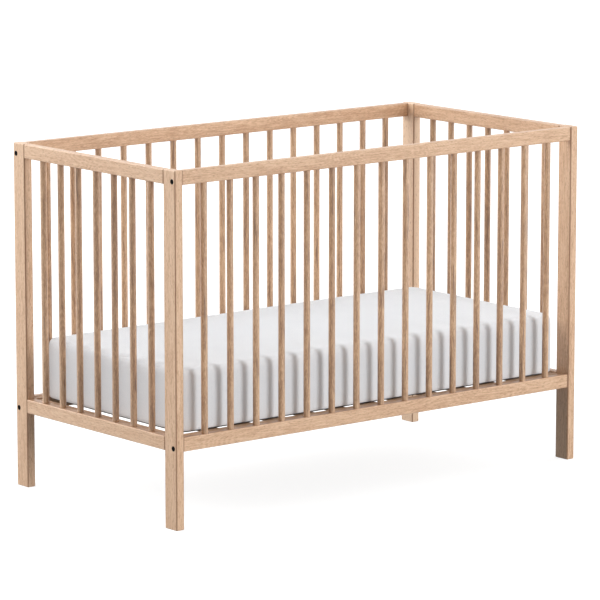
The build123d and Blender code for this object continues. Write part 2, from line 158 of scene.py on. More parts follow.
# ---------------------------------------------------------------- shader building
class NodeBench:
    """Adds and joins the nodes of one material, or of the world."""

    def __init__(self, name: str, world: bool = False) -> None:
        """Starts an empty material or world.

        Args:
            name: its name.
            world: whether it is a world.
        """
        store = bpy.data.worlds if world else bpy.data.materials
        self.owner = store.new(name)
        self.owner.use_nodes = True
        self.tree = self.owner.node_tree
        self.tree.nodes.clear()
        self.output = self.tree.nodes.new("ShaderNodeOutputWorld" if world else "ShaderNodeOutputMaterial")

    def feed(self, socket: Socket, value: object) -> None:
        """Joins a socket to an input, or sets the input to a plain value.

        Args:
            socket: the input.
            value: the socket or plain value that it takes.
        """
        if isinstance(value, bpy.types.NodeSocket):
            self.tree.links.new(value, socket)
        else:
            socket.default_value = value

    def add(
        self, kind: str, inputs: dict[str | int, object] | None = None, **settings: object
    ) -> bpy.types.Node:
        """Adds a node.

        Args:
            kind: the node's Blender type.
            inputs: input names or numbers, with a socket or a plain value for each.
            settings: the node's own properties.

        Returns:
            The new node.
        """
        node = self.tree.nodes.new(kind)
        for name, value in settings.items():
            setattr(node, name, value)
        for key, value in (inputs or {}).items():
            self.feed(node.inputs[key], value)
        return node

    def math(self, operation: str, *values: object) -> Socket:
        """A Math node's result, from sockets or numbers in order."""
        return self.add("ShaderNodeMath", dict(enumerate(values)), operation=operation).outputs[0]

    def vector(self, operation: str, *values: object) -> Socket:
        """A Vector Math node's result, from sockets or vectors in order."""
        return self.add("ShaderNodeVectorMath", dict(enumerate(values)), operation=operation).outputs[0]

    def place(self) -> Socket:
        """Where the surface is, in the row frame."""
        return self.add("ShaderNodeTexCoord").outputs["Object"]

    def parts(self, vector: Socket) -> bpy.types.NodeOutputs:
        """A vector's parts, by the names "X", "Y" and "Z"."""
        return self.add("ShaderNodeSeparateXYZ", {0: vector}).outputs

    def distance(self, across: Socket, deep: Socket) -> Socket:
        """How far two steps at right angles lead together."""
        square = self.math("ADD", self.math("MULTIPLY", across, across), self.math("MULTIPLY", deep, deep))
        return self.math("SQRT", square)

    def wave(self, sine: Socket) -> Socket:
        """A sine, or the product of two, moved from its own -1 to 1 into the stretch from 0 to 1."""
        return self.math("MULTIPLY_ADD", sine, AVERAGE, AVERAGE)

    def sway(self, texture: Socket, weight: float, tone: object) -> Socket:
        """Moves a tone, a socket or a number, by how far a texture is from its average."""
        return self.math("MULTIPLY_ADD", self.math("SUBTRACT", texture, AVERAGE), weight, tone)

    def span(
        self, value: Socket, low: float, high: float, to_low: float = 0.0, to_high: float = 1.0
    ) -> Socket:
        """Maps a stretch of values smoothly to another.

        Args:
            value: the value to map.
            low: where the stretch starts.
            high: where the stretch ends.
            to_low: result at the start.
            to_high: result at the end.

        Returns:
            The mapped value's socket.
        """
        node = self.add(
            "ShaderNodeMapRange",
            {"Value": value, "From Min": low, "From Max": high, "To Min": to_low, "To Max": to_high},
            interpolation_type="SMOOTHSTEP",
        )
        return node.outputs["Result"]

    def noise(self, vector: Socket, scale: float, detail: float, roughness: float = 0.5) -> Socket:
        """A noise texture's value, about 0.5 on average.

        Args:
            vector: where the texture is read.
            scale: how fine it is.
            detail: how many finer layers it has.
            roughness: how strong the finer layers are.

        Returns:
            The noise's socket.
        """
        node = self.add(
            "ShaderNodeTexNoise",
            {"Vector": vector, "Scale": scale, "Detail": detail, "Roughness": roughness},
        )
        return node.outputs["Fac"]

    def mix(self, share: Socket, first: object, second: object) -> Socket:
        """A mix of two colours, with the share of the second one from 0 to 1."""
        inputs = {MIX_SHARE: share, MIX_FIRST: first, MIX_SECOND: second}
        return self.add("ShaderNodeMix", inputs, data_type="RGBA").outputs[MIX_COLOUR]

    def ramp(self, value: Socket, stops: tuple[float, ...], colours: tuple[Colour, ...]) -> Socket:
        """A colour ramp.

        Args:
            value: where the ramp is read.
            stops: each stop's place.
            colours: each stop's colour.

        Returns:
            The colour's socket.
        """
        node = self.add("ShaderNodeValToRGB", {"Fac": value})
        elements = node.color_ramp.elements
        while len(elements) < len(stops):
            elements.new(0.5)
        for element, place, colour in zip(elements, stops, colours):
            element.position = place
            element.color = opaque(colour)
        return node.outputs["Color"]

    def bump(self, height: Socket, strength: float, distance: float, **inputs: Socket) -> Socket:
        """A normal that makes the surface look uneven, on top of another bump's Normal if it is given."""
        own = {"Height": height, "Strength": strength, "Distance": distance}
        return self.add("ShaderNodeBump", own | inputs).outputs[0]

    def seen(self) -> Socket:
        """Tells what looks at the surface from the light that the surface sends.

        Returns:
            A socket that is 1 for the camera, a reflection or clear glass, and 0 for sent light.
        """
        path = self.add("ShaderNodeLightPath").outputs
        looked = self.math("MAXIMUM", path["Is Camera Ray"], path["Is Glossy Ray"])
        return self.math("MAXIMUM", looked, path["Is Transmission Ray"])

    def finish(self, shader: bpy.types.Node) -> bpy.types.Material | bpy.types.World:
        """Joins the shader to the output and hands over the material or world."""
        self.tree.links.new(shader.outputs[0], self.output.inputs["Surface"])
        return self.owner


# ---------------------------------------------------------------- finishes
@dataclass(frozen=True)
class ArrisShade:
    """The upright edges of a post, darkened by painted shade."""

    middle: tuple[float, float]
    half: tuple[float, float]
    dark_within: float = 0.0014
    plain_beyond: float = 0.0036
    share: float = 0.8

    def share_at(self, bench: NodeBench) -> Socket:
        """How much painted shade darkens the wood near the post's upright edges.

        Args:
            bench: the material being built.

        Returns:
            The share's socket, from 0 on the faces to the arris's share at the edges.
        """
        parts = bench.parts(bench.place())
        gaps = []
        for axis, middle, half in zip("XY", self.middle, self.half):
            from_middle = bench.math("ABSOLUTE", bench.math("SUBTRACT", parts[axis], middle))
            gaps.append(bench.math("ABSOLUTE", bench.math("SUBTRACT", from_middle, half)))
        gap = bench.math("MAXIMUM", *gaps)
        return bench.span(gap, self.dark_within, self.plain_beyond, self.share, 0.0)


@dataclass(frozen=True)
class Seam:
    """The thin dark line where a rail's ends meet the posts."""

    axis: str
    middle: float
    half: float
    dark_within: float = 0.0012
    plain_beyond: float = 0.0034
    share: float = 0.6

    def share_at(self, bench: NodeBench) -> Socket:
        """How much darker the wood is near the rail's ends.

        Args:
            bench: the material being built.

        Returns:
            The share's socket, from the seam's share at the ends to 0 along the rail.
        """
        parts = bench.parts(bench.place())
        from_middle = bench.math("ABSOLUTE", bench.math("SUBTRACT", parts[self.axis], self.middle))
        gap = bench.math("SUBTRACT", self.half, from_middle)
        return bench.span(gap, self.dark_within, self.plain_beyond, self.share, 0.0)


@dataclass(frozen=True)
class RecessShade:
    """A post's two bolt recesses, with painted black shade round the bolts' heads."""

    centres: tuple[tuple[float, float], ...]
    # painted shade: the black of the recesses
    dark: Colour = srgb(9, 8, 7)
    radius: float = 0.0061
    blend: float = 0.0005

    def share_at(self, bench: NodeBench) -> Socket:
        """Where the post is painted black, as shade in its recesses.

        Args:
            bench: the material being built.

        Returns:
            The share's socket, 1 in the recesses and 0 elsewhere.
        """
        parts = bench.parts(bench.place())
        gaps = []
        for deep, height in self.centres:
            across = bench.math("SUBTRACT", parts["Y"], deep)
            up = bench.math("SUBTRACT", parts["Z"], height)
            gaps.append(bench.distance(across, up))
        gap = bench.math("MINIMUM", *gaps)
        return bench.span(gap, self.radius, self.radius + self.blend, 1.0, 0.0)


@dataclass(frozen=True)
class Layer:
    """One layer of noise in wood: how fine it is each way, and how much it moves the tone."""

    across: float
    along: float
    detail: float
    roughness: float = 0.5
    weight: float = 0.0


@dataclass(frozen=True)
class Beech:
    """Clear-finished beech: pale, slightly pink, with fine short flecks and soft rings.

    A node that holds several bars gives their spacing as repeat, so that each bar comes
    from its own part of the tree.  Shade moves the whole board paler or darker, and
    top_shade_share paints shade on its upper faces.
    """

    name: str
    grain: Grain
    seed: int
    brown: Colour = srgb(186, 143, 108)
    middle: Colour = srgb(217, 178, 143)
    pale: Colour = srgb(232, 198, 166)
    fleck: Colour = srgb(156, 110, 76)
    # the dark streak colour, which also paints the shade on edges and upper faces
    streak_and_shade: Colour = srgb(140, 96, 64)
    stops: tuple[float, float, float] = (0.12, 0.5, 0.88)
    broad: Layer = Layer(22.0, 2.2, 2.0, weight=0.75)
    fibre: Layer = Layer(240.0, 22.0, 4.0, roughness=0.62, weight=1.15)
    fine: Layer = Layer(620.0, 120.0, 2.0, roughness=0.6, weight=0.85)
    flecks: Layer = Layer(520.0, 85.0, 1.0)
    fleck_span: tuple[float, float] = (0.60, 0.72)
    fleck_share: float = 0.6
    streaks: Layer = Layer(170.0, 9.0, 3.0, roughness=0.6)
    streak_span: tuple[float, float] = (0.56, 0.70)
    streak_share: float = 0.0
    waver: Layer = Layer(9.0, 2.0, 2.0, weight=0.16)
    ring_spacing: float = 0.0045
    ring_share: float = 0.14
    ring_seed: int = 101
    lean_across: tuple[float, float] = (0.02, 0.05)
    lean_deep: tuple[float, float] = (0.01, 0.03)
    tree_reach: float = 5.0
    bar_reach: float = 7.0
    roughness: float = 0.5
    gloss_sway: float = 0.12
    lacquer: float = 0.5
    lacquer_roughness: float = 0.35
    fleck_depth: float = 0.7
    fibre_height: float = 0.5
    bump_strength: float = 0.25
    bump_height: float = 0.0004
    repeat: float = 0.0
    shade: float = 0.0
    # painted shade on upward-facing faces
    top_shade_share: float = 0.0
    top_shade_span: tuple[float, float] = (0.7, 0.95)
    # painted shade along a post's upright edges
    arris_shade: ArrisShade | None = None
    seam: Seam | None = None
    recesses: RecessShade | None = None

    def board_place(self, bench: NodeBench) -> Socket:
        """Where the texture is read: the row frame, moved to this board's own part of the tree.

        Args:
            bench: the material being built.

        Returns:
            The place's socket, with the grain along its Z.
        """
        place = bench.place()
        if self.repeat:
            along = bench.parts(place)["X"]
            number = bench.math("FLOOR", bench.math("ADD", bench.math("DIVIDE", along, self.repeat), 0.5))
            own = bench.add(
                "ShaderNodeTexWhiteNoise",
                {"W": bench.math("ADD", number, float(self.seed))},
                noise_dimensions="1D",
            ).outputs["Color"]
            place = bench.vector("ADD", place, bench.vector("MULTIPLY", own, (self.bar_reach,) * 3))
        draw = random.Random(self.seed)
        offset = tuple(draw.uniform(-self.tree_reach, self.tree_reach) for _ in range(3))
        parts = bench.parts(bench.vector("ADD", place, offset))
        turned = {key: parts[axis] for key, axis in zip("XYZ", self.grain.value)}
        return bench.add("ShaderNodeCombineXYZ", turned).outputs[0]

    def read(self, bench: NodeBench, place: Socket, layer: Layer) -> Socket:
        """One layer's noise, with features longer along the grain than across it."""
        stretched = bench.vector("MULTIPLY", place, (layer.across, layer.across, layer.along))
        return bench.noise(stretched, 1.0, layer.detail, layer.roughness)

    def rings(self, bench: NodeBench, place: Socket) -> Socket:
        """Soft growth rings about a pith that leans a little, which gives flame shapes on flat faces.

        Args:
            bench: the material being built.
            place: where the rings are read, with the grain along its Z.

        Returns:
            The rings' socket, from 0 to 1.
        """
        draw = random.Random(self.seed + self.ring_seed)
        lean = (draw.uniform(*self.lean_across) * draw.choice((-1, 1)), draw.uniform(*self.lean_deep))
        parts = bench.parts(place)
        low_noise = self.read(bench, place, self.waver)
        waver = bench.math("MULTIPLY", bench.math("SUBTRACT", low_noise, AVERAGE), self.waver.weight)
        across = bench.math("ADD", bench.math("MULTIPLY_ADD", parts["Z"], lean[0], parts["X"]), waver)
        deep = bench.math("ADD", bench.math("MULTIPLY_ADD", parts["Z"], lean[1], parts["Y"]), waver)
        turns = bench.math("MULTIPLY", bench.distance(across, deep), 2 * math.pi / self.ring_spacing)
        return bench.wave(bench.math("SINE", turns))

    def marked(self, bench: NodeBench, place: Socket, colour: Socket) -> Socket:
        """Adds dark streaks, painted shade along a post's upright edges, and dark rail ends, where the
        board has them.

        Args:
            bench: the material being built.
            place: where the texture is read, with the grain along its Z.
            colour: the board's own colour.

        Returns:
            The marked colour's socket.
        """
        shares = []
        if self.streak_share:
            dark = bench.span(self.read(bench, place, self.streaks), *self.streak_span)
            shares.append(bench.math("MULTIPLY", dark, self.streak_share))
        # A post's upright edges get painted shade.
        if self.arris_shade:
            shares.append(self.arris_shade.share_at(bench))
        if self.seam:
            shares.append(self.seam.share_at(bench))
        for share in shares:
            colour = bench.mix(share, colour, opaque(self.streak_and_shade))
        return colour

    def material(self) -> bpy.types.Material:
        """Builds the material.

        Returns:
            The beech material of this board.
        """
        bench = NodeBench(self.name)
        place = self.board_place(bench)
        broad = self.read(bench, place, self.broad)
        fibre = self.read(bench, place, self.fibre)
        fine = self.read(bench, place, self.fine)
        flecks = bench.span(self.read(bench, place, self.flecks), *self.fleck_span)
        tone = bench.sway(broad, self.broad.weight, AVERAGE + self.shade)
        tone = bench.sway(fibre, self.fibre.weight, tone)
        tone = bench.sway(fine, self.fine.weight, tone)
        tone = bench.sway(self.rings(bench, place), self.ring_share, tone)
        colour = bench.ramp(tone, self.stops, (self.brown, self.middle, self.pale))
        colour = bench.mix(bench.math("MULTIPLY", flecks, self.fleck_share), colour, opaque(self.fleck))
        colour = self.marked(bench, place, colour)
        lacquer: Socket | float = self.lacquer
        # Painted shade: the bolt recesses are painted black and lose their lacquer.
        if self.recesses:
            recess_shade = self.recesses.share_at(bench)
            colour = bench.mix(recess_shade, colour, opaque(self.recesses.dark))
            lacquer = bench.math("MULTIPLY_ADD", recess_shade, -self.lacquer, self.lacquer)
        # Painted shade: faces that look upwards are darkened towards the streak colour.
        if self.top_shade_share:
            upward = bench.parts(bench.add("ShaderNodeNewGeometry").outputs["Normal"])["Z"]
            top = bench.span(upward, *self.top_shade_span, 0.0, self.top_shade_share)
            colour = bench.mix(top, colour, opaque(self.streak_and_shade))
        gloss = bench.math("MULTIPLY_ADD", fibre, self.gloss_sway, self.roughness - self.gloss_sway / 2)
        fibre_height = bench.math("MULTIPLY", fibre, self.fibre_height)
        height = bench.math("MULTIPLY_ADD", flecks, -self.fleck_depth, fibre_height)
        shader = bench.add(
            "ShaderNodeBsdfPrincipled",
            {
                "Base Color": colour,
                "Roughness": gloss,
                "Normal": bench.bump(height, self.bump_strength, self.bump_height),
                "Coat Weight": lacquer,
                "Coat Roughness": self.lacquer_roughness,
            },
        )
        return bench.finish(shader)


@dataclass(frozen=True)
class Steel:
    """A fastener's plated or blackened steel, with fine turning marks and a few rubbed spots."""

    name: str
    colour: Colour
    rubbed: Colour
    roughness: float
    metallic: float = 0.9
    specular: float = 0.5
    mark_scale: float = 900.0
    mark_detail: float = 3.0
    spot_scale: float = 225.0
    spot_detail: float = 2.0
    spot_span: tuple[float, float] = (0.55, 0.75)
    spot_share: float = 0.5
    gloss_sway: float = 0.2
    bump_strength: float = 0.15
    bump_height: float = 0.0002

    def material(self) -> bpy.types.Material:
        """Builds the material.

        Returns:
            The steel material.
        """
        bench = NodeBench(self.name)
        place = bench.place()
        marks = bench.noise(place, self.mark_scale, self.mark_detail)
        spots = bench.span(bench.noise(place, self.spot_scale, self.spot_detail), *self.spot_span)
        share = bench.math("MULTIPLY", spots, self.spot_share)
        gloss = bench.math("MULTIPLY_ADD", marks, self.gloss_sway, self.roughness - self.gloss_sway / 2)
        shader = bench.add(
            "ShaderNodeBsdfPrincipled",
            {
                "Base Color": bench.mix(share, opaque(self.colour), opaque(self.rubbed)),
                "Roughness": gloss,
                "Normal": bench.bump(marks, self.bump_strength, self.bump_height),
                "Metallic": self.metallic,
                "Specular IOR Level": self.specular,
            },
        )
        return bench.finish(shader)


@dataclass(frozen=True)
class CottonCover:
    """A fine plain-woven cotton cover, white with a slight cool cast, and dark grey underneath as painted
    shade.
    """

    name: str = "cotton_cover"
    thread: Colour = srgb(237, 241, 245)
    hollow: Colour = srgb(225, 230, 236)
    # painted shade: the dark grey of the underside and the lowest few millimetres
    sole_shade: Colour = srgb(52, 50, 48)
    stops: tuple[float, float] = (0.1, 0.9)
    sole_shade_blend: float = 0.0015
    thread_spacing: float = 0.0009
    slub_scale: float = 260.0
    slub_sway: float = 0.6
    slub_height: float = 0.3
    fold_scale: float = 14.0
    fold_sway: float = 0.5
    noise_detail: float = 3.0
    bump_strength: float = 0.25
    weave_height: float = 0.0002
    fold_height: float = 0.003
    sheen: float = 0.15
    sheen_roughness: float = 0.5
    roughness: float = 0.85
    specular: float = 0.2

    def material(self, sole_shade_top: float) -> bpy.types.Material:
        """Builds the material.

        Args:
            sole_shade_top: the height that the dark underside's painted shade reaches.

        Returns:
            The cover's material.
        """
        bench = NodeBench(self.name)
        place = bench.place()
        parts = bench.parts(place)
        turn = 2 * math.pi / self.thread_spacing
        warp = bench.math("MULTIPLY", bench.math("ADD", parts["X"], parts["Z"]), turn)
        weft = bench.math("MULTIPLY", bench.math("SUBTRACT", parts["Y"], parts["Z"]), turn)
        weave = bench.wave(bench.math("MULTIPLY", bench.math("SINE", warp), bench.math("SINE", weft)))
        slubs = bench.noise(place, self.slub_scale, self.noise_detail)
        folds = bench.noise(place, self.fold_scale, self.noise_detail)
        tone = bench.sway(slubs, self.slub_sway, bench.sway(folds, self.fold_sway, weave))
        colour = bench.ramp(tone, self.stops, (self.hollow, self.thread))
        # Painted shade: the underside and the lowest few millimetres of the cover are dark grey.
        sole_shade_share = bench.span(parts["Z"], sole_shade_top, sole_shade_top + self.sole_shade_blend, 1.0, 0.0)
        fine = bench.bump(weave, self.bump_strength, self.weave_height)
        height = bench.math("MULTIPLY_ADD", slubs, self.slub_height, folds)
        shader = bench.add(
            "ShaderNodeBsdfPrincipled",
            {
                "Base Color": bench.mix(sole_shade_share, colour, opaque(self.sole_shade)),
                "Roughness": self.roughness,
                "Normal": bench.bump(height, self.bump_strength, self.fold_height, Normal=fine),
                "Specular IOR Level": self.specular,
                "Sheen Weight": self.sheen,
                "Sheen Roughness": self.sheen_roughness,
            },
        )
        return bench.finish(shader)


def dress(piece: bpy.types.Object, material: bpy.types.Material) -> None:
    """Gives a piece its finish, in every material slot that it has.

    Args:
        piece: the object to dress.
        material: its finish.
    """
    if not piece.data.materials:
        piece.data.materials.append(material)
    for index in range(len(piece.data.materials)):
        piece.data.materials[index] = material
    log.info("dressed %s in %s", piece.name, material.name)


# ---------------------------------------------------------------- sub-assemblies
@dataclass
class Posts:
    """The four corner posts, each with its own shade; the back right post's much paler one is painted
    light.
    """

    nodes: Nodes
    first_seed: int = 11
    shades: dict[str, float] = field(
        default_factory=lambda: {
            "front_left_post": 0.0,
            "back_left_post": 0.08,
            "front_right_post": 0.0,
            # Painted light: this post's paler shade stands in for light that falls on it.
            "back_right_post": 0.45,
        }
    )
    rail_levels: tuple[str, ...] = ("bottom", "top")
    bolt_height: float = 0.009

    def dress(self) -> None:
        """Gives each post its own beech, with painted shade on its upright edges and in its bolt recesses.

        A bolt sits at its own height above the underside of the long rail that it holds.
        """
        for seed, (name, shade) in enumerate(self.shades.items(), start=self.first_seed):
            low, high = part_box(name)
            middle = ((low.x + high.x) / 2, (low.y + high.y) / 2)
            half = ((high.x - low.x) / 2, (high.y - low.y) / 2)
            rails = [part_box(f"{name.split('_')[0]}_{level}_rail") for level in self.rail_levels]
            bolts = tuple(((rail[0].y + rail[1].y) / 2, rail[0].z + self.bolt_height) for rail in rails)
            wood = Beech(
                f"beech_{name}",
                Grain.UPRIGHT,
                seed,
                shade=shade,
                arris_shade=ArrisShade(middle, half),
                recesses=RecessShade(bolts),
            )
            dress(self.nodes[name], wood.material())


@dataclass
class Rails:
    """The eight rails between the posts, some of them a little darker than the rest, the bottom ones with
    painted shade on their upper faces.
    """

    nodes: Nodes
    first_seed: int = 31
    levels: tuple[str, ...] = ("bottom", "top")
    long_sides: tuple[str, ...] = ("front", "back")
    ends: tuple[str, ...] = ("left", "right")
    shades: dict[str, float] = field(
        default_factory=lambda: {"front_top_rail": -0.08, "back_top_rail": -0.2, "right_top_rail": -0.14}
    )
    # painted shade on the bottom rails' upper faces
    top_shade_shares: dict[str, float] = field(default_factory=lambda: {"bottom": 0.6, "top": 0.0})

    def dress(self) -> None:
        """Gives each rail beech of its own, with the grain along it and a seam at its ends."""
        seed = self.first_seed
        for level in self.levels:
            for side in self.long_sides + self.ends:
                name = f"{side}_{level}_rail"
                grain = Grain.ALONG_LENGTH if side in self.long_sides else Grain.ALONG_DEPTH
                axis = 0 if side in self.long_sides else 1
                low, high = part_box(name)
                wood = Beech(
                    f"beech_{name}",
                    grain,
                    seed,
                    shade=self.shades.get(name, 0.0),
                    top_shade_share=self.top_shade_shares[level],
                    seam=Seam("XY"[axis], (low[axis] + high[axis]) / 2, (high[axis] - low[axis]) / 2),
                )
                dress(self.nodes[name], wood.material())
                seed += 1


@dataclass
class Bars:
    """The round bars of the sides and ends, turned, lacquered and browner than the posts."""

    nodes: Nodes
    first_seed: int = 61
    long_sides: tuple[str, ...] = ("front_bars", "back_bars")
    ends: tuple[str, ...] = ("left", "right")
    end_count: int = 7
    long_count: int = 15
    rail: str = "front_top_rail"
    thickness_from: str = "left_end_bar_1"
    brown: Colour = srgb(134, 96, 65)
    middle: Colour = srgb(186, 145, 108)
    pale: Colour = srgb(221, 183, 146)
    streak_and_shade: Colour = srgb(104, 70, 45)
    streak_share: float = 0.75
    lacquer: float = 1.0
    lacquer_roughness: float = 0.32

    def wood(self, name: str, seed: int, repeat: float = 0.0) -> bpy.types.Material:
        """Glossy beech for one bar, or for all the bars of a long side.

        Args:
            name: the bar's node.
            seed: picks its part of the tree.
            repeat: the spacing of the bars, for a node that holds several.

        Returns:
            The material.
        """
        return Beech(
            f"beech_{name}",
            Grain.UPRIGHT,
            seed,
            self.brown,
            self.middle,
            self.pale,
            streak_and_shade=self.streak_and_shade,
            streak_share=self.streak_share,
            lacquer=self.lacquer,
            lacquer_roughness=self.lacquer_roughness,
            repeat=repeat,
        ).material()

    def long_pitch(self) -> float:
        """The spacing of the long sides' bars, which leave equal gaps between the posts.

        Returns:
            The distance from one bar's middle to the next one's.
        """
        low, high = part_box(self.rail)
        bar_low, bar_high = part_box(self.thickness_from)
        return (high.x - low.x + bar_high.x - bar_low.x) / (self.long_count + 1)

    def dress(self) -> None:
        """Gives the bars upright grain, a different part of the tree for each one."""
        pitch = self.long_pitch()
        seed = self.first_seed
        for name in self.long_sides:
            dress(self.nodes[name], self.wood(name, seed, pitch))
            seed += 1
        for end in self.ends:
            for number in range(1, self.end_count + 1):
                name = f"{end}_end_bar_{number}"
                dress(self.nodes[name], self.wood(name, seed))
                seed += 1


@dataclass
class SlattedBase:
    """The base's frame of battens and its slats, planed and a little browner than the crib's frame."""

    nodes: Nodes
    first_seed: int = 91
    slat_count: int = 11
    brown: Colour = srgb(150, 112, 82)
    middle: Colour = srgb(180, 143, 111)
    pale: Colour = srgb(200, 165, 134)
    roughness: float = 0.62
    lacquer: float = 0.0
    battens: dict[str, Grain] = field(
        default_factory=lambda: {
            "front": Grain.ALONG_LENGTH,
            "back": Grain.ALONG_LENGTH,
            "left": Grain.ALONG_DEPTH,
            "right": Grain.ALONG_DEPTH,
        }
    )

    def wood(self, name: str, grain: Grain, seed: int) -> bpy.types.Material:
        """Unlacquered beech for one piece of the base.

        Args:
            name: the piece's node.
            grain: the way that its grain runs.
            seed: picks its part of the tree.

        Returns:
            The material.
        """
        return Beech(
            f"beech_{name}",
            grain,
            seed,
            self.brown,
            self.middle,
            self.pale,
            roughness=self.roughness,
            lacquer=self.lacquer,
        ).material()

    def dress(self) -> None:
        """Gives each batten and slat beech of its own."""
        pieces = {f"base_{side}_batten": grain for side, grain in self.battens.items()}
        for number in range(1, self.slat_count + 1):
            pieces[f"base_slat_{number:02d}"] = Grain.ALONG_DEPTH
        for seed, (name, grain) in enumerate(pieces.items(), start=self.first_seed):
            dress(self.nodes[name], self.wood(name, grain, seed))


@dataclass
class Fasteners:
    """Bolts, nuts, dowels and screws."""

    nodes: Nodes
    black: Steel = Steel("black_steel", srgb(8, 8, 8), srgb(20, 19, 18), 0.7, metallic=0.0, specular=0.08)
    zinc: Steel = Steel("zinc_steel", srgb(168, 168, 166), srgb(196, 196, 194), 0.35)
    black_pieces: tuple[str, ...] = ("side_bolts", "base_bolts")
    zinc_pieces: tuple[str, ...] = ("barrel_nuts", "insert_nuts", "base_corner_screws")
    first_seed: int = 121
    dowels: dict[str, Grain] = field(
        default_factory=lambda: {"rail_dowels": Grain.ALONG_LENGTH, "end_frame_dowels": Grain.ALONG_DEPTH}
    )

    def dress(self) -> None:
        """Gives every fastener its finish."""
        for steel, names in ((self.black, self.black_pieces), (self.zinc, self.zinc_pieces)):
            material = steel.material()
            for name in names:
                dress(self.nodes[name], material)
        for seed, (name, grain) in enumerate(self.dowels.items(), start=self.first_seed):
            dress(self.nodes[name], Beech(f"beech_{name}", grain, seed).material())


